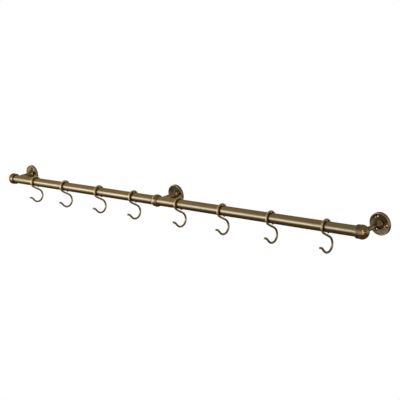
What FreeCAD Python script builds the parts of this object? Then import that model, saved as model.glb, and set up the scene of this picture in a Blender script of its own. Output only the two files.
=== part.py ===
import FreeCAD, Part
import math
import os
import Sketcher

# Kitchen utensil rail: a brass tube on three wall brackets, with eight wire hooks that slide on it.
#
# Row frame: the origin is the middle of the centre rose's back face, on the wall.
# +X runs along the rail to the right, +Y goes into the wall and +Z is up.

# Driving dimensions, in millimetres and degrees: alias, value, what it is.
DIMENSIONS = [
    ("rail_span", "975", "between the centres of the two end sockets"),
    ("wall_distance", "55", "rail axis to the wall"),
    ("tube_diameter", "19", "outside of the rail tube"),
    ("tube_wall", "1.2", "wall of the rail tube"),
    ("bore_clearance", "0.05", "radial play of the tube in its sockets and ball"),
    ("tube_end_gap", "0.4", "between the tube's end and the bottom of its socket"),
    ("ball_wall", "2.95", "metal around the bore at the middle of a ball"),
    ("collar_wall", "2.45", "metal around the bore at a socket's collar"),
    ("collar_length", "8.6", "collar of an end socket, from the ball's middle to its mouth"),
    ("collar_bevel", "0.4", "bevel round the collar's mouth"),
    ("groove_depth", "0.45", "turned line between collar and dome"),
    ("groove_width", "1.1", "width of that line"),
    ("socket_reach", "3", "bore of an end socket past the ball's middle"),
    ("ball_face", "0.45", "width of the flat ring at each mouth of the centre ball"),
    ("neck_diameter", "8.5", "slender part of a stem"),
    ("seat_margin", "0.35", "flat on the ball past the edge of the neck"),
    ("spigot_diameter", "5", "threaded end of a stem, in the ball"),
    ("thread_clearance", "0.05", "radial play of every screw thread"),
    ("tip_gap", "0.1", "between a screw's tip and the tube"),
    ("foot_diameter", "17", "foot of a stem, on its rose"),
    ("foot_edge", "1.2", "straight edge of the foot"),
    ("flare_length", "12.5", "trumpet curve from neck to foot"),
    ("rose_floor", "5", "thickness of a rose where its screws go"),
    ("foot_gap", "0.8", "between the stem's foot and a countersink"),
    ("countersink_diameter", "7.4", "mouth of a countersunk screw hole"),
    ("screw_hole_diameter", "3.8", "screw hole for a 3.5 mm wood screw"),
    ("screw_count", "3", "screw holes of a rose"),
    ("rim_gap", "0.7", "between a countersink and the rim"),
    ("rim_width", "2.6", "raised bead round the rose"),
    ("rim_arc", "155", "angle that the bead's arc turns through"),
    ("rose_edge", "3.9", "straight edge of a rose, from the wall"),
    ("back_hole_diameter", "5.3", "hole for the stem's screw through a rose"),
    ("right_hole_angle", "-10", "first screw hole of the right rose, from +X towards +Z"),
    ("centre_hole_angle", "30", "first screw hole of the centre rose"),
    ("left_hole_angle", "190", "first screw hole of the left rose"),
    ("back_screw_diameter", "5", "countersunk screw from the rose's back into the stem"),
    ("back_screw_length", "14", "that screw, with its head"),
    ("back_head_diameter", "9.6", "countersink for that screw in the rose's back"),
    ("back_screw_inset", "0.25", "screw head below the rose's back"),
    ("back_hole_spare", "1", "tapped hole past the screw's tip"),
    ("back_key", "3", "across the flats of its key socket"),
    ("back_key_depth", "1.8", "depth of its key socket"),
    ("grub_diameter", "4", "grub screw that locks the tube, under each ball"),
    ("grub_inset", "0.15", "grub screw below the metal around it"),
    ("grub_key", "2", "across the flats of its key socket"),
    ("grub_key_depth", "1.4", "depth of its key socket"),
    ("wire_diameter", "4", "wire of a hook"),
    ("ring_clearance", "0.3", "between a hanging ring and the top of the tube"),
    ("ring_hang", "0.3", "ring's middle below the rail's axis"),
    ("ring_front_angle", "146.8", "ring from its top down the front to the shank"),
    ("ring_back_angle", "163", "ring from its top down the back to its free end"),
    ("shank_length", "16.5", "straight wire from the ring to the bow"),
    ("shoulder_radius", "15", "middle of the wire round the wider start of the bow"),
    ("shoulder_turn", "70", "angle that this start turns through"),
    ("bow_radius", "13.3", "middle of the wire round the rest of the bow"),
    ("bow_turn", "127.5", "angle that the rest turns through"),
    ("rise_length", "7.6", "straight wire from the bow to the lip"),
    ("lip_radius", "5.8", "middle of the wire round the lip"),
    ("lip_turn", "32", "angle that the lip turns outwards"),
    ("tip_length", "4.8", "straight wire at the tip"),
    ("wire_end_round", "0.9", "rounding of both ends of the wire"),
    ("left_end_gap", "84.5", "left end socket to the first hook"),
    ("left_middle_gap", "70.5", "fourth hook to the centre ball"),
    ("right_middle_gap", "61.5", "centre ball to the fifth hook"),
    ("right_end_gap", "72.5", "eighth hook to the right end socket"),
    ("second_drift", "-3", "second hook off even spacing"),
    ("third_drift", "1.6", "third hook off even spacing"),
    ("right_drift", "-4", "sixth and seventh hook off even spacing"),
]
HOOKS_PER_SIDE = 4
COUNTERSINK_ANGLE = 90
HOOK_DRIFTS = {2: "second_drift", 3: "third_drift", 6: "right_drift", 7: "right_drift"}

# Sizes that follow from the driving ones, as expressions of the sheet's cells.
TUBE_RADIUS = "sizes.tube_diameter / 2"
BORE_RADIUS = f"({TUBE_RADIUS} + sizes.bore_clearance)"
BALL_RADIUS = f"({BORE_RADIUS} + sizes.ball_wall)"
COLLAR_RADIUS = f"({BORE_RADIUS} + sizes.collar_wall)"
HALF_SPAN = "sizes.rail_span / 2"
NECK_RADIUS = "sizes.neck_diameter / 2"
SEAT_RADIUS = f"({NECK_RADIUS} + sizes.seat_margin)"
SEAT_DEPTH = f"sqrt({BALL_RADIUS} ^ 2 - {SEAT_RADIUS} ^ 2)"
FOOT_RADIUS = "sizes.foot_diameter / 2"
FLARE_RISE = f"({FOOT_RADIUS} - {NECK_RADIUS})"
FLARE_RADIUS = f"(({FLARE_RISE} ^ 2 + sizes.flare_length ^ 2) / (2 * {FLARE_RISE}))"
SCREW_RADIUS = f"({FOOT_RADIUS} + sizes.foot_gap + sizes.countersink_diameter / 2)"
RIM_INNER = f"({SCREW_RADIUS} + sizes.countersink_diameter / 2 + sizes.rim_gap)"
ROSE_RADIUS = f"({RIM_INNER} + sizes.rim_width)"
RIM_CHORD = "sqrt(sizes.rim_width ^ 2 + (sizes.rose_floor - sizes.rose_edge) ^ 2)"
RIM_RADIUS = f"({RIM_CHORD} / (2 * sin(sizes.rim_arc / 2)))"
ROSE_FACE = "(sizes.wall_distance - sizes.rose_floor)"
GRUB_RADIUS = "sizes.grub_diameter / 2"
WIRE_RADIUS = "sizes.wire_diameter / 2"
RING_RADIUS = f"({TUBE_RADIUS} + sizes.ring_clearance + sizes.ring_hang + {WIRE_RADIUS})"

# Brackets: side, its sign along X and the alias of its first screw hole's angle.
BRACKETS = [
    ("left", -1, "left_hole_angle"),
    ("centre", 0, "centre_hole_angle"),
    ("right", 1, "right_hole_angle"),
]

# Index numbers of a sketch's ends and centres, and of its two axes. Its origin starts the first axis.
START_INDEX = 1
END_INDEX = 2
CENTRE_INDEX = 3
H_AXIS_INDEX = -1
V_AXIS_INDEX = -2

doc = FreeCAD.newDocument("utensil_rail")
sheet = doc.addObject("Spreadsheet::Sheet", "sizes")


def fill_sheet():
    for row, (alias, size, meaning) in enumerate(DIMENSIONS, start=1):
        sheet.set(f"A{row}", alias)
        sheet.set(f"B{row}", size)
        sheet.set(f"C{row}", meaning)
        sheet.setAlias(f"B{row}", alias)
    doc.recompute()


def value(expression):
    """The number that an expression of the sheet's cells gives."""
    return float(sheet.evalExpression(expression))


def new_body(name, place=("0", "0", "0"), turn=None):
    """A body whose label names its file. Its place, and its turn about Y, follow the sheet."""
    body = doc.addObject("PartDesign::Body", name)
    body.Label = name
    if turn:
        body.Placement = FreeCAD.Placement(FreeCAD.Vector(), FreeCAD.Rotation(FreeCAD.Vector(0, -1, 0), 1))
        body.setExpression("Placement.Rotation.Angle", f"{turn} * 1 deg")
    for letter, expression in zip("xyz", place):
        body.setExpression(f"Placement.Base.{letter}", expression)
    return body


def new_sketch(body, plane, name, offset=None):
    """A sketch on one of the body's origin planes, moved along the plane's normal by offset."""
    sketch = body.newObject("Sketcher::SketchObject", f"{body.Name}_{name}")
    support = [feature for feature in body.Origin.OriginFeatures if feature.Role == plane][0]
    sketch.AttachmentSupport = [(support, "")]
    sketch.MapMode = "FlatFace"
    if offset:
        sketch.setExpression("AttachmentOffset.Base.z", offset)
    return sketch


def bind(sketch, kind, places, expression, scale=1.0):
    """A constraint of a sketch whose size follows the sheet. scale turns degrees into its own radians."""
    index = sketch.addConstraint(Sketcher.Constraint(kind, *places, value(expression) * scale))
    sketch.setExpression(f"Constraints[{index}]", expression)


def pin_point(sketch, geometry, corner, x_size, y_size):
    """Hold one point of a sketch at x_size, y_size. A size of "0" puts it on an axis."""
    if x_size == "0" and y_size == "0":
        sketch.addConstraint(Sketcher.Constraint("Coincident", geometry, corner, H_AXIS_INDEX, START_INDEX))
        return
    if x_size == "0":
        sketch.addConstraint(Sketcher.Constraint("PointOnObject", geometry, corner, V_AXIS_INDEX))
    else:
        bind(sketch, "DistanceX", (H_AXIS_INDEX, START_INDEX, geometry, corner), x_size)
    if y_size == "0":
        sketch.addConstraint(Sketcher.Constraint("PointOnObject", geometry, corner, H_AXIS_INDEX))
    else:
        bind(sketch, "DistanceY", (H_AXIS_INDEX, START_INDEX, geometry, corner), y_size)


def point_on_arc(start, end, radius, bulge):
    """A point halfway along an arc from start to end. bulge is +1 if it bows to the right of that way."""
    chord = end - start
    middle = (start + end) * 0.5
    across = FreeCAD.Vector(chord.y, -chord.x, 0)
    across.normalize()
    sagitta = radius - math.sqrt(max(radius ** 2 - (chord.Length / 2) ** 2, 0.0))
    return middle + across * (sagitta * bulge)


def add_outline(sketch, corners):
    """A closed outline. Each corner is x, y and, where the side after it is an arc, (radius, bulge)."""
    spots = [FreeCAD.Vector(value(corner[0]), value(corner[1]), 0) for corner in corners]
    count = len(corners)
    for index, corner in enumerate(corners):
        start = spots[index]
        end = spots[(index + 1) % count]
        if len(corner) == 2:
            sketch.addGeometry(Part.LineSegment(start, end), False)
            continue
        radius_size, bulge = corner[2]
        halfway = point_on_arc(start, end, value(radius_size), bulge)
        sketch.addGeometry(Part.Arc(start, halfway, end), False)
    # An arc of a sketch always runs anticlockwise, so its start may be the outline's end.
    joints = []
    for index in range(count):
        first = sketch.getPoint(index, START_INDEX)
        forward = (first - spots[index]).Length < (first - spots[(index + 1) % count]).Length
        joints.append((START_INDEX, END_INDEX) if forward else (END_INDEX, START_INDEX))
    for index, corner in enumerate(corners):
        following = (index + 1) % count
        link = (index, joints[index][1], following, joints[following][0])
        sketch.addConstraint(Sketcher.Constraint("Coincident", *link))
        pin_point(sketch, index, joints[index][0], corner[0], corner[1])
        if len(corner) == 3:
            bind(sketch, "Radius", (index,), corner[2][0])


def add_circle(sketch, radius_size, x_size="0", y_size="0"):
    centre = FreeCAD.Vector(value(x_size), value(y_size), 0)
    circle = Part.Circle(centre, FreeCAD.Vector(0, 0, 1), value(radius_size))
    index = sketch.addGeometry(circle, False)
    pin_point(sketch, index, CENTRE_INDEX, x_size, y_size)
    bind(sketch, "Radius", (index,), radius_size)


def add_hexagon(sketch, flats_size):
    """A hexagon about the sketch's origin, given across its flats, with two corners on the vertical axis."""
    side_size = f"({flats_size}) / sqrt(3)"
    corners = []
    for x_part, y_part in ((0, 1), (-0.5, 0.5), (-0.5, -0.5), (0, -1), (0.5, -0.5), (0.5, 0.5)):
        x_size = "0" if x_part == 0 else f"{x_part} * ({flats_size})"
        corners.append((x_size, f"{y_part} * {side_size}"))
    add_outline(sketch, corners)


def turn_solid(body, sketch, axis):
    """Turn a sketch once round one of its axes."""
    feature = body.newObject("PartDesign::Revolution", f"{body.Name}_turned")
    feature.Profile = sketch
    feature.ReferenceAxis = (sketch, [axis])
    feature.Angle = 360
    doc.recompute()


def cut_pocket(body, sketch, depth_size, towards_normal, name):
    """Cut a sketch into the body, towards the sketch's normal or away from it, and see that it cuts."""
    before = body.Shape.Volume
    feature = body.newObject("PartDesign::Pocket", f"{body.Name}_{name}")
    feature.Profile = sketch
    feature.Type = "Length"
    feature.Reversed = towards_normal
    feature.setExpression("Length", depth_size)
    doc.recompute()
    if not body.Shape.Volume < before:
        raise RuntimeError(f"{feature.Name} cuts nothing")


def make_rail_tube():
    """Drawn brass tube, from the bottom of one end socket to the bottom of the other."""
    body = new_body("rail_tube", ("0", "-sizes.wall_distance", "0"))
    section = new_sketch(body, "YZ_Plane", "section")
    add_circle(section, TUBE_RADIUS)
    add_circle(section, f"({TUBE_RADIUS} - sizes.tube_wall)")
    tube = body.newObject("PartDesign::Pad", "rail_tube_length")
    tube.Profile = section
    tube.Midplane = True
    tube.setExpression("Length", "sizes.rail_span + 2 * (sizes.socket_reach - sizes.tube_end_gap)")
    doc.recompute()
    return body


def cut_stem_seat(body):
    """Flat seat and tapped hole for the stem, at the back of a ball."""
    seat = new_sketch(body, "XZ_Plane", "seat", f"-{SEAT_DEPTH}")
    add_circle(seat, SEAT_RADIUS)
    cut_pocket(body, seat, "sizes.ball_wall", False, "seat_cut")
    hole = new_sketch(body, "XZ_Plane", "stem_hole")
    add_circle(hole, "(sizes.spigot_diameter / 2 + sizes.thread_clearance)")
    cut_pocket(body, hole, BALL_RADIUS, False, "stem_hole_cut")


def cut_grub_hole(body, x_size):
    """Tapped hole for the grub screw, straight up into the bore from below."""
    hole = new_sketch(body, "XY_Plane", "grub_hole")
    add_circle(hole, "(sizes.grub_diameter / 2 + sizes.thread_clearance)", x_size)
    cut_pocket(body, hole, BALL_RADIUS, False, "grub_hole_cut")


def grub_place(sign):
    """Where the grub screw sits along a fitting: mid collar on a socket, the middle on the ball."""
    return "0" if sign == 0 else f"{-sign} * (sizes.collar_length + sizes.groove_width) / 2"


def mirrored(size, sign):
    """An x size on the left or right side, or 0 in the middle. A zero stays on its axis."""
    return "0" if size == "0" or sign == 0 else f"{sign} * ({size})"


def make_end_socket(side, sign):
    """Bullet-shaped end fitting: a collar that takes the tube, and a dome that closes its end."""
    body = new_body(f"end_socket_{side}", (f"{sign} * {HALF_SPAN}", "-sizes.wall_distance", "0"))
    outline = new_sketch(body, "XZ_Plane", "outline")
    corners = [
        ("-sizes.collar_length", BORE_RADIUS),
        ("-sizes.collar_length", f"({COLLAR_RADIUS} - sizes.collar_bevel)"),
        ("-(sizes.collar_length - sizes.collar_bevel)", COLLAR_RADIUS),
        ("-sizes.groove_width", COLLAR_RADIUS),
        ("-sizes.groove_width / 2", f"({COLLAR_RADIUS} - sizes.groove_depth)"),
        ("0", BALL_RADIUS, (BALL_RADIUS, -sign)),
        (BALL_RADIUS, "0"),
        ("sizes.socket_reach", "0"),
        ("sizes.socket_reach", BORE_RADIUS),
    ]
    add_outline(outline, [(mirrored(corner[0], sign),) + corner[1:] for corner in corners])
    turn_solid(body, outline, "H_Axis")
    cut_stem_seat(body)
    cut_grub_hole(body, grub_place(sign))
    return body


def make_centre_ball():
    """Ball of the middle bracket, which the tube passes through."""
    body = new_body("centre_ball", ("0", "-sizes.wall_distance", "0"))
    outline = new_sketch(body, "XZ_Plane", "outline")
    mouth_radius = f"({BORE_RADIUS} + sizes.ball_face)"
    half_length = f"sqrt({BALL_RADIUS} ^ 2 - {mouth_radius} ^ 2)"
    corners = [
        (f"-{half_length}", BORE_RADIUS),
        (f"-{half_length}", mouth_radius, (BALL_RADIUS, -1)),
        (half_length, mouth_radius),
        (half_length, BORE_RADIUS),
    ]
    add_outline(outline, corners)
    turn_solid(body, outline, "H_Axis")
    cut_stem_seat(body)
    cut_grub_hole(body, "0")
    return body


def make_stem(side, sign):
    """Turned stem from the back of a ball to its rose: a thread, a slender neck and a trumpet foot."""
    body = new_body(f"stem_{side}", (mirrored(HALF_SPAN, sign), "-sizes.wall_distance", "0"))
    outline = new_sketch(body, "XY_Plane", "outline")
    spigot_radius = "sizes.spigot_diameter / 2"
    spigot_tip = f"({TUBE_RADIUS} + sizes.tip_gap)"
    foot_start = f"({ROSE_FACE} - sizes.foot_edge)"
    corners = [
        ("0", spigot_tip),
        (spigot_radius, spigot_tip),
        (spigot_radius, SEAT_DEPTH),
        (NECK_RADIUS, SEAT_DEPTH),
        (NECK_RADIUS, f"({foot_start} - sizes.flare_length)", (FLARE_RADIUS, -1)),
        (FOOT_RADIUS, foot_start),
        (FOOT_RADIUS, ROSE_FACE),
        ("0", ROSE_FACE),
    ]
    add_outline(outline, corners)
    turn_solid(body, outline, "V_Axis")
    tapped = new_sketch(body, "XZ_Plane", "tapped_hole", f"-{ROSE_FACE}")
    add_circle(tapped, "(sizes.back_screw_diameter / 2 + sizes.thread_clearance)")
    depth = "(sizes.back_screw_length + sizes.back_screw_inset + sizes.back_hole_spare - sizes.rose_floor)"
    cut_pocket(body, tapped, depth, True, "tapped_hole_cut")
    return body


def cut_hole(body, sketch, diameter, mouth_diameter, towards_normal, name):
    """A countersunk through hole, and see that it cuts."""
    before = body.Shape.Volume
    hole = body.newObject("PartDesign::Hole", f"{body.Name}_{name}")
    hole.Profile = sketch
    doc.recompute()
    hole.Reversed = towards_normal
    hole.ThreadType = "None"
    hole.DepthType = "ThroughAll"
    hole.HoleCutType = "Countersink"
    hole.HoleCutCustomValues = True
    hole.HoleCutCountersinkAngle = COUNTERSINK_ANGLE
    hole.setExpression("Diameter", diameter)
    hole.setExpression("HoleCutDiameter", mouth_diameter)
    doc.recompute()
    if not body.Shape.Volume < before:
        raise RuntimeError(f"{hole.Name} cuts nothing")
    return hole


def make_rose(side, sign, hole_angle):
    """Round wall plate with a beaded rim, countersunk screw holes and one at its back for the stem."""
    body = new_body(f"rose_{side}", (mirrored(HALF_SPAN, sign), "0", "0"), f"sizes.{hole_angle}")
    outline = new_sketch(body, "XY_Plane", "outline")
    corners = [
        ("0", "0"),
        (ROSE_RADIUS, "0"),
        (ROSE_RADIUS, "-sizes.rose_edge", (RIM_RADIUS, -1)),
        (RIM_INNER, "-sizes.rose_floor"),
        ("0", "-sizes.rose_floor"),
    ]
    add_outline(outline, corners)
    turn_solid(body, outline, "V_Axis")
    back = new_sketch(body, "XZ_Plane", "back_hole_place")
    add_circle(back, "sizes.back_hole_diameter / 2")
    cut_hole(body, back, "sizes.back_hole_diameter", "sizes.back_head_diameter", True, "back_hole")
    spot = new_sketch(body, "XZ_Plane", "screw_hole_place", "sizes.rose_floor")
    add_circle(spot, "sizes.screw_hole_diameter / 2", SCREW_RADIUS)
    mouth = "sizes.countersink_diameter"
    hole = cut_hole(body, spot, "sizes.screw_hole_diameter", mouth, False, "screw_hole")
    one_hole = body.Shape.Volume
    ring = body.newObject("PartDesign::PolarPattern", f"{body.Name}_screw_holes")
    ring.Originals = [hole]
    ring.Axis = ([feature for feature in body.Origin.OriginFeatures if feature.Role == "Y_Axis"][0], [""])
    ring.Angle = 360
    ring.setExpression("Occurrences", "sizes.screw_count")
    body.Tip = ring
    doc.recompute()
    if not body.Shape.Volume < one_hole:
        raise RuntimeError(f"{ring.Name} repeats nothing")
    return body


def make_back_screw(side, sign):
    """Countersunk screw that holds the stem on its rose, from behind."""
    body = new_body(f"rose_screw_{side}", (mirrored(HALF_SPAN, sign), "0", "0"))
    outline = new_sketch(body, "XY_Plane", "outline")
    shank_radius = "sizes.back_screw_diameter / 2"
    head_radius = "(sizes.back_head_diameter / 2 - sizes.back_screw_inset - sizes.thread_clearance)"
    corners = [
        ("0", "-sizes.back_screw_inset"),
        (head_radius, "-sizes.back_screw_inset"),
        (shank_radius, f"-(sizes.back_screw_inset + {head_radius} - {shank_radius})"),
        (shank_radius, "-(sizes.back_screw_inset + sizes.back_screw_length)"),
        ("0", "-(sizes.back_screw_inset + sizes.back_screw_length)"),
    ]
    add_outline(outline, corners)
    turn_solid(body, outline, "V_Axis")
    key = new_sketch(body, "XZ_Plane", "key", "sizes.back_screw_inset")
    add_hexagon(key, "sizes.back_key")
    cut_pocket(body, key, "sizes.back_key_depth", True, "key_cut")
    return body


def make_grub_screw(side, sign):
    """Set screw under a ball, whose tip bears on the tube."""
    place = grub_place(sign)
    along = mirrored(HALF_SPAN, sign) if place == "0" else f"{sign} * {HALF_SPAN} + {place}"
    body = new_body(f"grub_screw_{side}", (along, "-sizes.wall_distance", "0"))
    outer = BALL_RADIUS if sign == 0 else COLLAR_RADIUS
    outline = new_sketch(body, "XZ_Plane", "outline")
    corners = [
        ("0", f"-({TUBE_RADIUS} + sizes.tip_gap)"),
        ("0", f"-({outer} - sizes.grub_inset)"),
        (GRUB_RADIUS, f"-({outer} - sizes.grub_inset)"),
        (GRUB_RADIUS, f"-({TUBE_RADIUS} + sizes.tip_gap)"),
    ]
    add_outline(outline, corners)
    turn_solid(body, outline, "V_Axis")
    key = new_sketch(body, "XY_Plane", "key", f"-({outer} - sizes.grub_inset)")
    add_hexagon(key, "sizes.grub_key")
    cut_pocket(body, key, "sizes.grub_key_depth", True, "key_cut")
    return body


def walk_arc(spot, heading, radius, turn):
    """An arc that leaves spot along heading and turns left by turn, or right if that is negative."""
    side = math.copysign(1.0, turn)
    facing = math.radians(heading)
    centre = spot + FreeCAD.Vector(-math.sin(facing), math.cos(facing), 0) * (radius * side)
    arm = spot - centre
    ends = []
    for share in (0.5, 1.0):
        rotation = FreeCAD.Rotation(FreeCAD.Vector(0, 0, 1), turn * share)
        ends.append(centre + rotation.multVec(arm))
    return Part.Arc(spot, ends[0], ends[1]), ends[1], heading + turn


def draw_hook_path(sketch):
    """Middle of a hook's wire from the top of its ring, down the front and round the bow to its tip."""
    pieces = [
        ("arc", RING_RADIUS, "sizes.ring_front_angle", 1),
        ("line", "sizes.shank_length"),
        ("arc", "sizes.shoulder_radius", "sizes.shoulder_turn", -1),
        ("arc", "sizes.bow_radius", "sizes.bow_turn", -1),
        ("line", "sizes.rise_length"),
        ("arc", "sizes.lip_radius", "sizes.lip_turn", 1),
        ("line", "sizes.tip_length"),
    ]
    spot = FreeCAD.Vector(0, value(RING_RADIUS), 0)
    heading = 180.0
    last = None
    for piece in pieces:
        start = spot
        if piece[0] == "line":
            facing = math.radians(heading)
            spot = start + FreeCAD.Vector(math.cos(facing), math.sin(facing), 0) * value(piece[1])
            index = sketch.addGeometry(Part.LineSegment(start, spot), False)
        else:
            turn = value(piece[2]) * piece[3]
            arc, spot, heading = walk_arc(start, heading, value(piece[1]), turn)
            index = sketch.addGeometry(arc, False)
        # An arc that turns right is kept the other way round, so its start may be the path's next spot.
        first, second = sketch.getPoint(index, START_INDEX), sketch.getPoint(index, END_INDEX)
        forward = (first - start).Length < (second - start).Length
        near, far = (START_INDEX, END_INDEX) if forward else (END_INDEX, START_INDEX)
        if last is None:
            centre = (index, CENTRE_INDEX, H_AXIS_INDEX, START_INDEX)
            sketch.addConstraint(Sketcher.Constraint("Coincident", *centre))
            sketch.addConstraint(Sketcher.Constraint("PointOnObject", index, near, V_AXIS_INDEX))
        else:
            sketch.addConstraint(Sketcher.Constraint("Tangent", last[0], last[1], index, near))
        if piece[0] == "line":
            bind(sketch, "Distance", (index,), piece[1])
        else:
            bind(sketch, "Radius", (index,), piece[1])
            bind(sketch, "Angle", (index,), f"{piece[2]} * 1 deg", math.radians(1))
        last = (index, far)


def end_edges(shape):
    """Names of the edges round the flat ends of a wire."""
    flat_ends = [face for face in shape.Faces if face.Surface.TypeId == "Part::GeomPlane"]
    names = []
    for index, edge in enumerate(shape.Edges, start=1):
        if any(edge.isSame(rim) for face in flat_ends for rim in face.Edges):
            names.append(f"Edge{index}")
    return names


def make_hook(number, x_size):
    """Wire hook: a ring that is captive on the tube, a shank that crosses back under it, a bow and a lip."""
    body = new_body(f"hook_{number}", (x_size, "-sizes.wall_distance", "-sizes.ring_hang"))
    section = new_sketch(body, "XZ_Plane", "wire_section")
    add_circle(section, WIRE_RADIUS, "0", RING_RADIUS)
    back = body.newObject("PartDesign::Revolution", f"{body.Name}_ring_back")
    back.Profile = section
    back.ReferenceAxis = (section, ["H_Axis"])
    back.Reversed = True
    back.setExpression("Angle", "sizes.ring_back_angle")
    doc.recompute()
    path = new_sketch(body, "YZ_Plane", "wire_path")
    draw_hook_path(path)
    doc.recompute()
    wire = body.newObject("PartDesign::AdditivePipe", f"{body.Name}_wire")
    wire.Profile = section
    wire.Spine = (path, [f"Edge{index}" for index in range(1, len(path.Shape.Edges) + 1)])
    doc.recompute()
    ends = body.newObject("PartDesign::Fillet", f"{body.Name}_ends")
    ends.Base = (wire, end_edges(wire.Shape))
    ends.setExpression("Radius", f"min(sizes.wire_end_round; 0.9 * {WIRE_RADIUS})")
    doc.recompute()
    return body


def hook_place(number):
    """Place of a hook along the rail. Four hang on each side of the centre ball, about evenly."""
    side, step = divmod(number - 1, HOOKS_PER_SIDE)
    steps = HOOKS_PER_SIDE - 1
    drift = f" + sizes.{HOOK_DRIFTS[number]}" if number in HOOK_DRIFTS else ""
    if side == 0:
        room = f"({HALF_SPAN} - sizes.left_end_gap - sizes.left_middle_gap)"
        return f"-{HALF_SPAN} + sizes.left_end_gap + {step} * {room} / {steps}{drift}"
    room = f"({HALF_SPAN} - sizes.right_middle_gap - sizes.right_end_gap)"
    return f"sizes.right_middle_gap + {step} * {room} / {steps}{drift}"


def check_document():
    """Stop if anything failed, because a failed feature raises nothing by itself."""
    for item in doc.Objects:
        if "Invalid" in item.State or "Error" in item.State:
            raise RuntimeError(f"{item.Name} is {item.State}: {item.getStatusString()}")


def write_steps(bodies):
    os.makedirs("parts", exist_ok=True)
    for body in bodies:
        shape = body.Shape
        if shape.isNull() or not shape.isValid() or len(shape.Solids) != 1:
            raise RuntimeError(f"{body.Label} is not one valid solid")
    for body in bodies:
        body.Shape.exportStep(f"parts/{body.Label}.step")


def build_rail():
    bodies = [make_rail_tube(), make_centre_ball()]
    for side, sign, hole_angle in BRACKETS:
        if sign != 0:
            bodies.append(make_end_socket(side, sign))
        bodies.append(make_stem(side, sign))
        bodies.append(make_rose(side, sign, hole_angle))
        bodies.append(make_back_screw(side, sign))
        bodies.append(make_grub_screw(side, sign))
    for number in range(1, 2 * HOOKS_PER_SIDE + 1):
        bodies.append(make_hook(number, hook_place(number)))
    doc.recompute()
    check_document()
    return bodies


fill_sheet()
write_steps(build_rail())
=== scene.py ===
import bmesh
import bpy
import math
from mathutils import Matrix, Vector


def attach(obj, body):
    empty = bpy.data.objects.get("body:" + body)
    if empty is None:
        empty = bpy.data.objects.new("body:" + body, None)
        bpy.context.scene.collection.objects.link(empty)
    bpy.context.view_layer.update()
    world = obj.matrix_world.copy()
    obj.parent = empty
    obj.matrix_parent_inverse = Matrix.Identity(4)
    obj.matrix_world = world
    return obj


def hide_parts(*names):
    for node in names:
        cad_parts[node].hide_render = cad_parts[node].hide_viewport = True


# Kitchen utensil rail in antiqued brass: turned fittings, a brushed tube and wire hooks.
# Lengths are in millimetres up to where MM turns them into metres.

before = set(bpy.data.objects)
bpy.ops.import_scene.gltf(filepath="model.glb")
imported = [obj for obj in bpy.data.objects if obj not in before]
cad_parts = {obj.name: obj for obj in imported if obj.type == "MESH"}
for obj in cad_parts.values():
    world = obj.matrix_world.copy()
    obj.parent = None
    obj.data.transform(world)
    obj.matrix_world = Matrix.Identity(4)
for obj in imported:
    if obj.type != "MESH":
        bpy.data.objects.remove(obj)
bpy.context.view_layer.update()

MM = 0.001
NOTHING = 1e-6

# Rail, from the wall at Y 0 towards the room at minus Y
AXIS_Y = -55.0
HALF_SPAN = 487.5
TUBE_RADIUS = 9.5
TUBE_WALL = 1.2
TUBE_PAST_AXIS = 2.6
BORE_RADIUS = 9.55

# Balls and end sockets
BALL_RADIUS = 12.5
BALL_MOUTH_RADIUS = 10.0
BALL_HALF_LENGTH = 7.5
COLLAR_RADIUS = 12.0
COLLAR_REACH = 8.6
COLLAR_BEVEL = 0.4
LINE_WIDTH = 0.55
LINE_DEPTH = 0.45
SOCKET_DEPTH = 3.0
SEAT_RADIUS = 4.6
SEAT_DEPTH = math.sqrt(BALL_RADIUS ** 2 - SEAT_RADIUS ** 2)
GRUB_HOLE_RADIUS = 2.05
GRUB_INSET = 4.85
DRILL_REACH = 15

# Stems
THREAD_RADIUS = 2.5
THREAD_CHAMFER = 0.3
THREAD_HOLE_RADIUS = 2.55
SPIGOT_TIP = 9.6
NECK_RADIUS = 4.25
FOOT_RADIUS = 8.5
FOOT_LENGTH = 12.5
FOOT_EDGE = 1.2
SCREW_HOLE_DEPTH = 10.45

# Wall roses
ROSE_RADIUS = 20.0
ROSE_CHAMFER = 0.25
ROSE_EDGE = 3.9
ROSE_FACE = -5.0
RIM_WIDTH = 2.6
RIM_HALF_TURN = 77.5
SCREW_PASSAGE_RADIUS = 2.65
SCREW_HEAD_DEPTH = 2.15
HOLE_CIRCLE_RADIUS = 13
HOLE_RADIUS = 1.9
COUNTERSINK_RADIUS = 3.7
OVERCUT = 2

# Hooks
WIRE_RADIUS = 2.0
END_ROUNDING = 0.9
RING_RADIUS = 12.1
RING_BACK_TURN = -163.0
RING_SAG = 0.3
# From the ring's top over the front to the tip: a bend's radius and its degrees, or None and a straight's length
HOOK_BENDS = (
    (RING_RADIUS, 146.8), (None, 16.5), (15.0, -70.0), (13.3, -127.5), (None, 7.6), (5.8, 32.0), (None, 4.8),
)
HOOK_X = (-403.0, -295.1667, -179.7333, -70.5, 61.5, 175.3333, 293.1667, 415.0)
# From a hook to the next one on its right, painted shade darkens the wire a step and the ring's lightening fades
PAINTED_SHADE_STEP = 0.045
WEAR_AND_SHEEN_STEP = 0.04
WEAR_AND_SHEEN_FADE = 0.9

# A bracket's side, its place in half spans, and the angle of its first screw hole
SIDES = (("left", -1, 190.0), ("centre", 0, 30.0), ("right", 1, -10.0))

# Colours
FRESH_BRASS = (0.20, 0.115, 0.03, 1)
GOLDEN_TINGE = (0.285, 0.202, 0.078, 1.0)
# Near black brown that darkens joins and grooves: painted shade, with some real soiling there
DIRT_AND_SHADE = (0.02, 0.0145, 0.0075, 1.0)
# Patina takes away the white edge of polished metal
EDGE_TINT = (0.42, 0.33, 0.21, 1.0)
DARK_STEEL = (0.10, 0.095, 0.09, 1.0)
WORN_STEEL = (0.30, 0.28, 0.25, 1.0)
PALE_FLOOR = (0.8, 0.8, 0.8, 1)
ROOM_IN_METAL = (0.34, 0.25, 0.14, 1)
WHITE = (1, 1, 1, 1)

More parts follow.
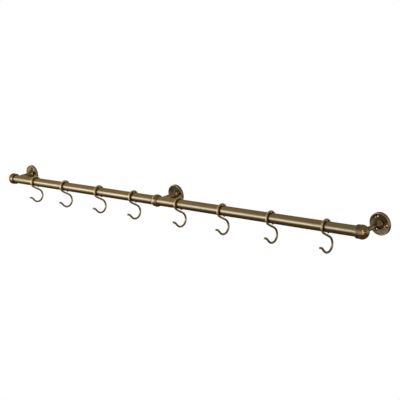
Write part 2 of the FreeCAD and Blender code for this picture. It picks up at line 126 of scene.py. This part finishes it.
# Studio round the rail: an angle about the rail, from the room's side towards the ceiling, its brightness, and
# how warm it is.
STUDIO = (
    (-180, 1.62, 0.4), (-160, 1.30, 0.5), (-130, 0.35, 1.0), (-80, 0.30, 1.0), (-58, 0.39, 0.9), (-40, 0.65, 0.6),
    (-26, 0.96, 0.4), (-12, 1.44, 0.1), (0, 2.00, 0.0), (12, 2.22, 0.0), (24, 2.06, 0.2), (38, 0.91, 0.7),
    (50, 0.67, 1.0), (95, 0.74, 1.0), (130, 0.74, 0.9), (155, 0.87, 0.7), (170, 1.48, 0.5), (180, 1.62, 0.4),
)
COLD_LIGHT = Vector((0.87, 1.0, 1.4))
WARM_LIGHT = Vector((1.0, 0.84, 0.58))
# Along the rail, by the direction's X: where the studio fades, its strengths there, and the box at its left end
FADE_SPAN = (-0.78, -0.45)
FADE_STRENGTHS = (1.56, 0.775)
END_BOX_SPAN = (-0.94, -0.84)
END_BOX_TINT = (1.0, 0.95, 0.84, 1)
END_BOX_STRENGTH = 2.83

# The camera, as solved from the photo
CAMERA_SPOT = (1.3719, -1.2875, 0.4603)
CAMERA_RIGHT = (0.71561, 0.69185, -0.09619)
CAMERA_BACK = (0.69059, -0.68008, 0.24613)
CAMERA_LENS = 86.26


def arc(centre, radius, first, last, steps):
    """Points of an arc, from one angle to another, in degrees."""
    points = []
    for step in range(steps + 1):
        angle = math.radians(first + (last - first) * step / steps)
        points.append((centre[0] + radius * math.cos(angle), centre[1] + radius * math.sin(angle)))
    return points


def rounded(corners, steps=4):
    """An outline of (along, radius, fillet, grime) corners with each fillet drawn as a small arc."""
    outline = []
    count = len(corners)
    for index, (along, radius, fillet, grime_and_shade) in enumerate(corners):
        here = Vector((along, radius))
        if not fillet:
            outline.append((along, radius, grime_and_shade))
            continue
        before = Vector(corners[index - 1][:2]) - here
        after = Vector(corners[(index + 1) % count][:2]) - here
        reach = min(fillet, before.length * 0.45, after.length * 0.45)
        start = here + before.normalized() * reach
        end = here + after.normalized() * reach
        for step in range(steps + 1):
            share = step / steps
            point = start * (1 - share) ** 2 + here * (2 * share * (1 - share)) + end * share ** 2
            outline.append((point.x, point.y, grime_and_shade))
    return outline


def shaded(mesh, limit=38.0):
    """Smooth shading, with edges sharper than the limit kept crisp."""
    work = bmesh.new()
    work.from_mesh(mesh)
    for face in work.faces:
        face.smooth = True
    for edge in work.edges:
        if len(edge.link_faces) == 2:
            edge.smooth = edge.calc_face_angle(0.0) < math.radians(limit)
    work.to_mesh(mesh)
    work.free()


def new_piece(name, work):
    """An object from a bmesh, with its faces turned outwards."""
    bmesh.ops.remove_doubles(work, verts=work.verts, dist=1e-7)
    bmesh.ops.recalc_face_normals(work, faces=work.faces)
    mesh = bpy.data.meshes.new(name)
    work.to_mesh(mesh)
    work.free()
    shaded(mesh)
    piece = bpy.data.objects.new(name, mesh)
    bpy.context.scene.collection.objects.link(piece)
    return piece


def join_rings(work, first, second, segments):
    """Faces between two rings of vertices, where a ring on the axis has one vertex."""
    faces = []
    for step in range(segments):
        onward = (step + 1) % segments
        corners = [first[step % len(first)], first[onward % len(first)]]
        corners += [second[onward % len(second)], second[step % len(second)]]
        faces.append(work.faces.new(list(dict.fromkeys(corners))))
    return faces


def turned(name, outline, axis, x_place, segments=96):
    """A closed outline of (along, radius, grime) turned once round the rail's axis, X, or a stem's axis, Y."""
    work = bmesh.new()
    grime_and_shade = work.verts.layers.float.new("grime_and_shade")
    rings = []
    for along, radius, dirt_and_shade in outline:
        ring = []
        for step in range(1 if radius < NOTHING else segments):
            angle = 2 * math.pi * step / segments
            across, up = radius * math.cos(angle), radius * math.sin(angle)
            if axis == "X":
                spot = (x_place + along, AXIS_Y + across, up)
            else:
                spot = (x_place + across, along, up)
            vertex = work.verts.new(Vector(spot) * MM)
            vertex[grime_and_shade] = dirt_and_shade
            ring.append(vertex)
        rings.append(ring)
    for index, ring in enumerate(rings):
        following = rings[(index + 1) % len(rings)]
        if len(ring) > 1 or len(following) > 1:
            join_rings(work, ring, following, segments)
    return new_piece(name, work)


def cut(piece, cutters):
    """Take the cutters' volumes out of a piece."""
    for cutter in cutters:
        modifier = piece.modifiers.new("cut", "BOOLEAN")
        modifier.operation = "DIFFERENCE"
        modifier.solver = "EXACT"
        modifier.object = cutter
    graph = bpy.context.evaluated_depsgraph_get()
    mesh = bpy.data.meshes.new_from_object(piece.evaluated_get(graph))
    piece.modifiers.clear()
    piece.data = mesh
    shaded(mesh)
    for cutter in cutters:
        bpy.data.objects.remove(cutter, do_unlink=True)


def drill(outline, place, turn, bare_and_sheen=0.0, segments=48):
    """A cutter turned from (depth, radius) points, set at a place and turned from the Y axis.

    Its fourth argument is 1 where it leaves new-cut brass."""
    work = bmesh.new()
    fresh_and_sheen = work.faces.layers.float.new("bare_and_sheen")
    rings = []
    for depth, radius in outline:
        ring = []
        for step in range(1 if radius < NOTHING else segments):
            angle = 2 * math.pi * step / segments
            local = Vector((radius * math.cos(angle), depth, radius * math.sin(angle)))
            ring.append(work.verts.new((Vector(place) + turn @ local) * MM))
        rings.append(ring)
    for first, second in zip(rings, rings[1:]):
        for face in join_rings(work, first, second, segments):
            face[fresh_and_sheen] = bare_and_sheen
    return new_piece("drill", work)


def stem_and_grub_drills(x_ball, x_grub):
    """Cutters for a ball's seat and stem thread, at its back, and its grub screw, underneath."""
    straight = Matrix.Identity(3)
    downwards = Matrix.Rotation(math.radians(-90), 3, "X")
    back = [
        (0, 0), (0, THREAD_HOLE_RADIUS), (SEAT_DEPTH, THREAD_HOLE_RADIUS),
        (SEAT_DEPTH, SEAT_RADIUS), (DRILL_REACH, SEAT_RADIUS), (DRILL_REACH, 0),
    ]
    below = [(0, 0), (0, GRUB_HOLE_RADIUS), (DRILL_REACH, GRUB_HOLE_RADIUS), (DRILL_REACH, 0)]
    return [
        drill(back, (x_ball, AXIS_Y, 0), straight),
        drill(below, (x_grub, AXIS_Y, 0), downwards),
    ]


def make_tube():
    """Brushed tube with cut ends, in short lengths, with painted shade and some soiling where the fittings meet it.
    """
    reach = HALF_SPAN + TUBE_PAST_AXIS
    lengths = 60
    stations = {-reach + 2 * reach * step / lengths: 0.0 for step in range(lengths + 1)}
    # Painted shade, with some real soiling, just either side of each fitting's mouth
    for mouth, outwards in ((HALF_SPAN - COLLAR_REACH, -1), (BALL_HALF_LENGTH, 1)):
        for away, dirt_and_shade in ((-0.6, 0.7), (0.4, 0.7), (1.4, 0.0)):
            stations[mouth + away * outwards] = dirt_and_shade
            stations[-mouth - away * outwards] = dirt_and_shade
    outline = [(along, TUBE_RADIUS, dirt_and_shade) for along, dirt_and_shade in sorted(stations.items())]
    outline += [(reach, TUBE_RADIUS - TUBE_WALL, 0.3), (-reach, TUBE_RADIUS - TUBE_WALL, 0.3)]
    return turned("brushed_tube", outline, "X", 0.0, 128)


def make_ball():
    """Ball of the middle bracket, darkened at its two mouths by painted shade with some real soiling."""
    corner = math.degrees(math.acos(BALL_MOUTH_RADIUS / BALL_RADIUS))
    dome = [(-along, radius) for along, radius in arc((0, 0), BALL_RADIUS, 90 - corner, 90 + corner, 28)]
    outline = [(dome[0][0], BORE_RADIUS)] + dome + [(dome[-1][0], BORE_RADIUS)]
    darkened_past = BALL_HALF_LENGTH - 0.3
    outline = [(along, radius, 0.8 if abs(along) > darkened_past else 0.0) for along, radius in outline]
    ball = turned("turned_ball", outline, "X", 0.0)
    cut(ball, stem_and_grub_drills(0.0, 0.0))
    return ball


def make_socket(side, sign):
    """End fitting: a bevelled collar, a turned line and a dome."""
    # The last number darkens: painted shade, some real soiling, at the mouth, in the turned line and at the dome's
    # start
    collar = rounded([
        (-COLLAR_REACH, BORE_RADIUS, 0.15, 0.6),
        (-COLLAR_REACH, COLLAR_RADIUS - COLLAR_BEVEL, 0.2, 0.15),
        (-COLLAR_REACH + COLLAR_BEVEL, COLLAR_RADIUS, 0.25, 0.1),
        (-2 * LINE_WIDTH, COLLAR_RADIUS, 0.2, 0.6),
        (-LINE_WIDTH, COLLAR_RADIUS - LINE_DEPTH, 0.12, 1.0),
    ])
    dome = arc((0, 0), BALL_RADIUS, 90, 0, 30)
    outline = collar + [(*dome[0], 0.6), (*dome[1], 0.15)]
    outline += [(*point, 0.0) for point in dome[2:-1]] + [(BALL_RADIUS, 0.0, 0.0)]
    outline += [(SOCKET_DEPTH, 0.0, 0.8), (SOCKET_DEPTH, BORE_RADIUS, 0.8)]
    outline = [(along * sign, radius, dirt_and_shade) for along, radius, dirt_and_shade in outline]
    socket = turned(f"turned_socket_{side}", outline, "X", sign * HALF_SPAN)
    cut(socket, stem_and_grub_drills(sign * HALF_SPAN, sign * (HALF_SPAN - GRUB_INSET)))
    return socket


def make_stem(side, sign):
    """Stem with a threaded spigot, a slender neck and a trumpet foot."""
    tip = AXIS_Y + SPIGOT_TIP
    seat = AXIS_Y + SEAT_DEPTH
    foot = ROSE_FACE - FOOT_EDGE
    hole_end = ROSE_FACE - SCREW_HOLE_DEPTH
    rise = FOOT_RADIUS - NECK_RADIUS
    flare = (rise ** 2 + FOOT_LENGTH ** 2) / (2 * rise)
    turn = math.degrees(math.asin(FOOT_LENGTH / flare))
    curve = arc((foot - FOOT_LENGTH, NECK_RADIUS + flare), flare, -90, -90 + turn, 18)
    # The last number darkens: painted shade, some real soiling, where the stem enters the ball and its foot meets
    # the rose
    outline = [
        (tip, 0.0, 0.3), (tip, THREAD_RADIUS - THREAD_CHAMFER, 0.3), (tip + THREAD_CHAMFER, THREAD_RADIUS, 0.3),
        (seat, THREAD_RADIUS, 0.3), (seat, NECK_RADIUS, 0.8), (seat + 0.5, NECK_RADIUS, 0.6),
        (seat + 1.2, NECK_RADIUS, 0.1), (seat + 11.0, NECK_RADIUS, 0.04),
    ]
    outline += [(*point, 0.06) for point in curve[:-1]]
    outline += rounded([(foot, FOOT_RADIUS, 0.25, 0.1), (ROSE_FACE, FOOT_RADIUS, 0.15, 0.9)], 3)[1:]
    outline += [(ROSE_FACE, THREAD_HOLE_RADIUS, 0.5), (hole_end, THREAD_HOLE_RADIUS, 0.5), (hole_end, 0.0, 0.5)]
    return turned(f"turned_stem_{side}", outline, "Y", sign * HALF_SPAN, 72)


def make_rose(side, sign, hole_angle):
    """Wall plate with a bead round it and countersunk holes."""
    drop = -ROSE_FACE - ROSE_EDGE
    chord = math.hypot(RIM_WIDTH, drop)
    radius = chord / 2 / math.sin(math.radians(RIM_HALF_TURN))
    inset = radius * math.cos(math.radians(RIM_HALF_TURN))
    middle = (
        -ROSE_EDGE - drop / 2 + inset * RIM_WIDTH / chord,
        ROSE_RADIUS - RIM_WIDTH / 2 - inset * drop / chord,
    )
    lean = math.degrees(math.atan2(drop, RIM_WIDTH))
    bead = arc(middle, radius, 180 - RIM_HALF_TURN - lean, 180 + RIM_HALF_TURN - lean, 16)
    # The last number darkens: painted shade, some real soiling, at the bead's corners and under the stem's foot
    outline = [
        (0.0, 0.0, 0.4), (0.0, ROSE_RADIUS - ROSE_CHAMFER, 0.4), (-ROSE_CHAMFER, ROSE_RADIUS, 0.3),
        (-ROSE_EDGE + 0.4, ROSE_RADIUS, 0.15), (-ROSE_EDGE, ROSE_RADIUS, 0.7),
    ]
    outline += [(*point, 0.0) for point in bead[1:-1]]
    for ring, dirt_and_shade in (
        (ROSE_RADIUS - RIM_WIDTH, 1.0), (17.0, 0.6), (16.2, 0.15), (12.5, 0.25),
        (9.6, 0.6), (8.8, 0.8), (8.0, 0.9), (0.0, 0.5),
    ):
        outline.append((ROSE_FACE, ring, dirt_and_shade))
    rose = turned(f"turned_rose_{side}", outline, "Y", sign * HALF_SPAN, 128)
    straight = Matrix.Identity(3)
    screw = [
        (OVERCUT, 0), (OVERCUT, SCREW_PASSAGE_RADIUS + SCREW_HEAD_DEPTH + OVERCUT),
        (-SCREW_HEAD_DEPTH, SCREW_PASSAGE_RADIUS), (ROSE_FACE - 1, SCREW_PASSAGE_RADIUS), (ROSE_FACE - 1, 0),
    ]
    hole = [
        (OVERCUT, 0), (OVERCUT, HOLE_RADIUS), (ROSE_FACE + COUNTERSINK_RADIUS - HOLE_RADIUS, HOLE_RADIUS),
        (ROSE_FACE - OVERCUT, COUNTERSINK_RADIUS + OVERCUT), (ROSE_FACE - OVERCUT, 0),
    ]
    drills = [drill(screw, (sign * HALF_SPAN, 0, 0), straight)]
    for step in range(3):
        angle = math.radians(hole_angle + 120 * step)
        x_hole = sign * HALF_SPAN + HOLE_CIRCLE_RADIUS * math.cos(angle)
        drills.append(drill(hole, (x_hole, 0, HOLE_CIRCLE_RADIUS * math.sin(angle)), straight, 1.0))
    cut(rose, drills)
    return rose


def follow(y, z, heading, bends):
    """Places along a wire, as (y, z, heading), after a start and a list of bends and straights."""
    places = []
    for radius, amount in bends:
        if radius is None:
            steps = max(2, int(amount / 3.0))
            for _ in range(steps):
                y += math.cos(heading) * amount / steps
                z += math.sin(heading) * amount / steps
                places.append((y, z, heading))
            continue
        steps = max(4, int(abs(amount) / 4.0))
        side = math.copysign(1.0, amount)
        centre = (y - math.sin(heading) * radius * side, z + math.cos(heading) * radius * side)
        for _ in range(steps):
            heading += math.radians(amount) / steps
            y = centre[0] + math.sin(heading) * radius * side
            z = centre[1] - math.cos(heading) * radius * side
            places.append((y, z, heading))
    return places


def hook_path():
    """Middle of a hook's wire, in the hook's own plane, as (y, z, heading) from the ring's end to the tip."""
    back = follow(0.0, RING_RADIUS, 0.0, [(RING_RADIUS, RING_BACK_TURN)])
    path = [(y, z, heading + math.pi) for y, z, heading in reversed(back)]
    path.append((0.0, RING_RADIUS, math.pi))
    return path + follow(0.0, RING_RADIUS, math.pi, HOOK_BENDS)


def rounded_end(place, way, angles):
    """Stations that round off the wire at its start, way -1, or at its tip, way 1."""
    y, z, heading = place
    stations = []
    for angle in angles:
        shift = way * (END_ROUNDING * math.sin(math.radians(angle)) - END_ROUNDING)
        radius = WIRE_RADIUS - END_ROUNDING + END_ROUNDING * math.cos(math.radians(angle))
        stations.append((y + math.cos(heading) * shift, z + math.sin(heading) * shift, heading, radius))
    return stations


def make_hook(number, x_place):
    """Bent wire with softly rounded ends."""
    segments = 28
    path = hook_path()
    stations = rounded_end(path[0], -1, (90, 70, 50, 30, 12))
    stations += [(*place, WIRE_RADIUS) for place in path[1:-1]]
    stations += rounded_end(path[-1], 1, (12, 30, 50, 70, 90))
    # Each hook further right is darkened a step more: painted shade
    painted_shade = PAINTED_SHADE_STEP * (number - 1)
    # The ring's lightening, partly rubbing, partly a painted highlight, fades a step per hook to the right: painted
    # shade
    wear_and_sheen = 1.0 - WEAR_AND_SHEEN_STEP * (number - 1)
    work = bmesh.new()
    grime_and_shade = work.verts.layers.float.new("grime_and_shade")
    bare_and_sheen = work.verts.layers.float.new("bare_and_sheen")
    rings = []
    for y, z, heading, radius in stations:
        ring = []
        on_ring = min(1.0, max(0.0, (RING_RADIUS + WEAR_AND_SHEEN_FADE - math.hypot(y, z)) / WEAR_AND_SHEEN_FADE))
        outward = Vector((0.0, -math.sin(heading), math.cos(heading)))
        middle = Vector((x_place, AXIS_Y + y, z - RING_SAG))
        for step in range(segments):
            angle = 2 * math.pi * step / segments
            aside = Vector((radius, 0, 0)) * math.cos(angle)
            vertex = work.verts.new((middle + aside + outward * (radius * math.sin(angle))) * MM)
            vertex[grime_and_shade] = painted_shade
            vertex[bare_and_sheen] = on_ring * wear_and_sheen
            ring.append(vertex)
        rings.append(ring)
    for first, second in zip(rings, rings[1:]):
        join_rings(work, first, second, segments)
    work.faces.new(rings[0])
    work.faces.new(rings[-1])
    return new_piece(f"wire_hook_{number}", work)


class Nodes:
    """Short names for building a node tree."""

    def __init__(self, tree):
        self.tree = tree

    def add(self, kind, inputs=None, **values):
        node = self.tree.nodes.new(kind)
        for key, value in values.items():
            setattr(node, key, value)
        for socket, source in (inputs or {}).items():
            if isinstance(source, bpy.types.NodeSocket):
                self.tree.links.new(source, node.inputs[socket])
            else:
                node.inputs[socket].default_value = source
        return node

    def noise(self, scale, stretch, detail, rough, seed):
        """Noise in metres of the part, stretched along an axis by a small factor there."""
        place = self.add("ShaderNodeTexCoord").outputs["Object"]
        corner = (seed, seed * 0.7, seed * 1.3)
        mapping = self.add("ShaderNodeMapping", {"Vector": place, "Scale": stretch, "Location": corner})
        inputs = {"Vector": mapping.outputs["Vector"], "Scale": scale, "Detail": detail, "Roughness": rough}
        return self.add("ShaderNodeTexNoise", inputs).outputs["Fac"]

    def span(self, value, low, high, to_low, to_high, curve="LINEAR"):
        inputs = {"Value": value, "From Min": low, "From Max": high, "To Min": to_low, "To Max": to_high}
        return self.add("ShaderNodeMapRange", inputs, interpolation_type=curve).outputs["Result"]

    def blend(self, factor, first, second):
        inputs = {0: factor, 6: first, 7: second}
        return self.add("ShaderNodeMix", inputs, data_type="RGBA", blend_type="MIX").outputs[2]

    def math(self, kind, first, second):
        return self.add("ShaderNodeMath", {0: first, 1: second}, operation=kind).outputs[0]

    def bump(self, height, strength, distance, normal=None):
        inputs = {"Height": height, "Strength": strength, "Distance": distance}
        if normal:
            inputs["Normal"] = normal
        return self.add("ShaderNodeBump", inputs).outputs["Normal"]

    def attribute(self, name):
        return self.add("ShaderNodeAttribute", attribute_name=name).outputs["Fac"]

    def seen_by(self, ray, otherwise, then):
        """One shader for a kind of ray, and another for the rest."""
        path = self.add("ShaderNodeLightPath").outputs[ray]
        return self.add("ShaderNodeMixShader", {0: path, 1: otherwise, 2: then}).outputs[0]


def metal(name):
    """A new metal material with its nodes and its shader's inputs."""
    material = bpy.data.materials.new(name)
    material.use_nodes = True
    sockets = material.node_tree.nodes["Principled BSDF"].inputs
    sockets["Metallic"].default_value = 1.0
    return material, Nodes(material.node_tree), sockets


def brass(name, tone, dark, fresh_and_sheen, rough, streak, grain, patch, brushing, coat):
    """Antiqued brass, from its clean tone, its dark tarnish and its new-cut metal.

    streak is the scale of the brushing lines, grain stretches the fine specks, and patch is the scale of the
    tarnish's patches. One attribute darkens a piece: painted shade in joins and grooves, with some real soiling,
    and on the hooks painted shade that grows to the right. Another turns it to new-cut brass: real in the
    countersinks, and on the hooks' rings partly rubbing, partly a painted highlight."""
    material, nodes, sockets = metal(name)
    sockets["Coat Weight"].default_value = coat
    sockets["Coat Roughness"].default_value = 0.12
    sockets["Specular Tint"].default_value = EDGE_TINT
    lines = nodes.noise(1.0, streak, 5.0, 0.65, 3.1)
    broad = nodes.noise(patch, (0.35, 1, 1), 5.0, 0.6, 1.7)
    fine = nodes.noise(420.0, grain, 3.0, 0.6, 9.2)
    patches = nodes.span(broad, 0.42, 0.72, 0.0, 0.55)
    brushed = nodes.span(lines, 0.4, 0.65, 0.0, 0.32 + 0.8 * brushing)
    dirt_and_shade = nodes.math("MULTIPLY", nodes.attribute("grime_and_shade"), nodes.span(fine, 0.25, 0.6, 0.65, 1.0))
    colour = nodes.blend(patches, tone, dark)
    colour = nodes.blend(brushed, colour, dark)
    colour = nodes.blend(nodes.span(fine, 0.3, 0.75, 0.0, 0.22), colour, GOLDEN_TINGE)
    # Marked places go to new-cut brass: real in the countersinks; on the hooks' rings partly rubbing, partly a
    # painted highlight
    colour = nodes.blend(nodes.attribute("bare_and_sheen"), colour, fresh_and_sheen)
    # Marked places go speckled towards near black brown: painted shade in joins and grooves, with some real soiling
    colour = nodes.blend(dirt_and_shade, colour, DIRT_AND_SHADE)
    nodes.tree.links.new(colour, sockets["Base Color"])
    dull = nodes.math("ADD", nodes.math("MULTIPLY", dirt_and_shade, 0.3), nodes.math("MULTIPLY", patches, 0.16))
    roughness = nodes.math("ADD", nodes.span(lines, 0.3, 0.7, rough - 0.07, rough + 0.06), dull)
    nodes.tree.links.new(roughness, sockets["Roughness"])
    normal = nodes.bump(lines, brushing, 0.00003)
    normal = nodes.bump(fine, 0.12, 0.00002, normal)
    nodes.tree.links.new(normal, sockets["Normal"])
    return material


def blackened_steel():
    """Dark screw steel with a fine thread drawn round it."""
    material, nodes, sockets = metal("blackened_steel")
    patches = nodes.noise(300.0, (1, 1, 1), 4.0, 0.6, 4.4)
    nodes.tree.links.new(nodes.blend(patches, DARK_STEEL, WORN_STEEL), sockets["Base Color"])
    nodes.tree.links.new(nodes.span(patches, 0.3, 0.7, 0.3, 0.5), sockets["Roughness"])
    place = nodes.add("ShaderNodeTexCoord").outputs["Object"]
    inputs = {"Vector": place, "Scale": 400.0, "Distortion": 0.0}
    thread = nodes.add("ShaderNodeTexWave", inputs, wave_type="BANDS", bands_direction="Y").outputs["Fac"]
    normal = nodes.bump(patches, 0.2, 0.00005, nodes.bump(thread, 0.5, 0.0002))
    nodes.tree.links.new(normal, sockets["Normal"])
    return material


def finish_piece(piece, material, body, node):
    piece.data.materials.clear()
    piece.data.materials.append(material)
    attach(piece, body)
    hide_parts(node)


def make_floor():
    """Pale floor well below the rail, plain white to the camera and a warm room to the metal."""
    mesh = bpy.data.meshes.new("floor")
    mesh.from_pydata([(-4, -4, -2), (4, -4, -2), (4, 4, -2), (-4, 4, -2)], [], [(0, 1, 2, 3)])
    floor = bpy.data.objects.new("floor", mesh)
    bpy.context.scene.collection.objects.link(floor)
    material = bpy.data.materials.new("pale_floor")
    material.use_nodes = True
    nodes = Nodes(material.node_tree)
    nodes.tree.nodes.clear()
    pale = nodes.add("ShaderNodeBsdfDiffuse", {"Color": PALE_FLOOR}).outputs[0]
    room = nodes.add("ShaderNodeBsdfDiffuse", {"Color": ROOM_IN_METAL}).outputs[0]
    white = nodes.add("ShaderNodeEmission", {"Color": WHITE}).outputs[0]
    surface = nodes.seen_by("Is Camera Ray", nodes.seen_by("Is Glossy Ray", pale, room), white)
    nodes.add("ShaderNodeOutputMaterial", {"Surface": surface})
    mesh.materials.append(material)


def make_world():
    """Long soft boxes parallel to the rail, fading to its right, and one at its left end. The camera sees white."""
    world = bpy.data.worlds.new("studio")
    bpy.context.scene.world = world
    world.use_nodes = True
    nodes = Nodes(world.node_tree)
    nodes.tree.nodes.clear()
    place = nodes.add("ShaderNodeTexCoord").outputs["Generated"]
    way = nodes.add("ShaderNodeSeparateXYZ", {0: place}).outputs
    angle = nodes.math("ARCTAN2", way["Z"], nodes.math("MULTIPLY", way["Y"], -1.0))
    ramp = nodes.add("ShaderNodeValToRGB", {"Fac": nodes.span(angle, -math.pi, math.pi, 0.0, 1.0)})
    stops = ramp.color_ramp.elements
    peak = max(level for _, level, _ in STUDIO)
    for index, (degrees, level, warm) in enumerate(STUDIO):
        spot = (degrees + 180) / 360
        stop = stops[0] if index == 0 else stops[-1] if index == len(STUDIO) - 1 else stops.new(spot)
        stop.position = spot
        tint = COLD_LIGHT.lerp(WARM_LIGHT, warm)
        stop.color = (*(tint * (level / peak / max(COLD_LIGHT))), 1)
    near, far = (strength * peak for strength in FADE_STRENGTHS)
    fade = nodes.span(way["X"], *FADE_SPAN, near, far, "SMOOTHSTEP")
    boxes = nodes.add("ShaderNodeBackground", {"Color": ramp.outputs["Color"], "Strength": fade}).outputs[0]
    end_box = nodes.add("ShaderNodeBackground", {"Color": END_BOX_TINT, "Strength": END_BOX_STRENGTH}).outputs[0]
    at_end = nodes.span(way["X"], *END_BOX_SPAN, 1.0, 0.0, "SMOOTHSTEP")
    studio = nodes.add("ShaderNodeMixShader", {0: at_end, 1: boxes, 2: end_box}).outputs[0]
    white = nodes.add("ShaderNodeBackground", {"Color": WHITE}).outputs[0]
    nodes.add("ShaderNodeOutputWorld", {"Surface": nodes.seen_by("Is Camera Ray", studio, white)})


def make_lamp(name, width, height, watts, tint, spot, aim):
    """A rectangular soft box at a spot, turned to what it lights."""
    data = bpy.data.lights.new(name, "AREA")
    data.shape = "RECTANGLE"
    data.size = width
    data.size_y = height
    data.energy = watts
    data.color = tint
    lamp = bpy.data.objects.new(name, data)
    bpy.context.scene.collection.objects.link(lamp)
    lamp.location = spot
    lamp.rotation_mode = "QUATERNION"
    lamp.rotation_quaternion = (Vector(aim) - lamp.location).to_track_quat("-Z", "Y")


def make_camera():
    data = bpy.data.cameras.new("camera")
    data.sensor_width = 36.0
    data.lens = CAMERA_LENS
    data.clip_start = 0.05
    data.clip_end = 50.0
    camera = bpy.data.objects.new("camera", data)
    bpy.context.scene.collection.objects.link(camera)
    right = Vector(CAMERA_RIGHT).normalized()
    back = Vector(CAMERA_BACK).normalized()
    up = back.cross(right).normalized()
    turn = Matrix((right, up, back)).transposed()
    camera.matrix_world = Matrix.Translation(CAMERA_SPOT) @ turn.to_4x4()
    bpy.context.scene.camera = camera


tube_brass = brass(
    "brushed_antique_brass", tone=(0.257, 0.207, 0.124, 1), dark=(0.152, 0.115, 0.062, 1), fresh_and_sheen=FRESH_BRASS,
    rough=0.22, streak=(4, 380, 380), grain=(0.06, 1, 1), patch=38.0, brushing=0.3, coat=0.14,
)
turned_brass = brass(
    "turned_antique_brass", tone=(0.30, 0.227, 0.118, 1), dark=(0.116, 0.083, 0.038, 1), fresh_and_sheen=FRESH_BRASS,
    rough=0.15, streak=(260, 260, 260), grain=(1, 1, 1), patch=85.0, brushing=0.15, coat=0.2,
)
# Its new-cut colour lightens the hooks' rings: partly rubbing on the tube, partly a painted highlight
wire_brass = brass(
    "drawn_antique_brass", tone=(0.35, 0.275, 0.15, 1), dark=(0.184, 0.138, 0.071, 1), fresh_and_sheen=(0.54, 0.415, 0.212, 1),
    rough=0.24, streak=(300, 300, 300), grain=(1, 1, 1), patch=120.0, brushing=0.15, coat=0.14,
)
steel = blackened_steel()

finish_piece(make_tube(), tube_brass, "rail", "rail_tube")
finish_piece(make_ball(), turned_brass, "rail", "centre_ball")
for side, sign, hole_angle in SIDES:
    if sign:
        finish_piece(make_socket(side, sign), turned_brass, "rail", f"end_socket_{side}")
    finish_piece(make_stem(side, sign), turned_brass, "rail", f"stem_{side}")
    finish_piece(make_rose(side, sign, hole_angle), turned_brass, "rail", f"rose_{side}")
    for node in (f"rose_screw_{side}", f"grub_screw_{side}"):
        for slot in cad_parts[node].material_slots:
            slot.material = steel
for number, x_place in enumerate(HOOK_X, start=1):
    finish_piece(make_hook(number, x_place), wire_brass, f"hook_{number}", f"hook_{number}")

bpy.context.scene.view_settings.view_transform = "Standard"
make_floor()
make_world()
# A tall narrow soft box in front draws an upright highlight on the balls and hooks, and a wide low one at the
# left lifts the far end.
make_lamp("tall_strip", 0.22, 2.4, 6.6, (1.0, 0.93, 0.8), (1.62, -1.05, 0.42), (0.3, 0, 0))
make_lamp("low_box", 1.4, 0.5, 4.8, (0.95, 1.0, 1.1), (-1.0, -1.1, 0.1), (-0.4, 0, 0))
make_camera()
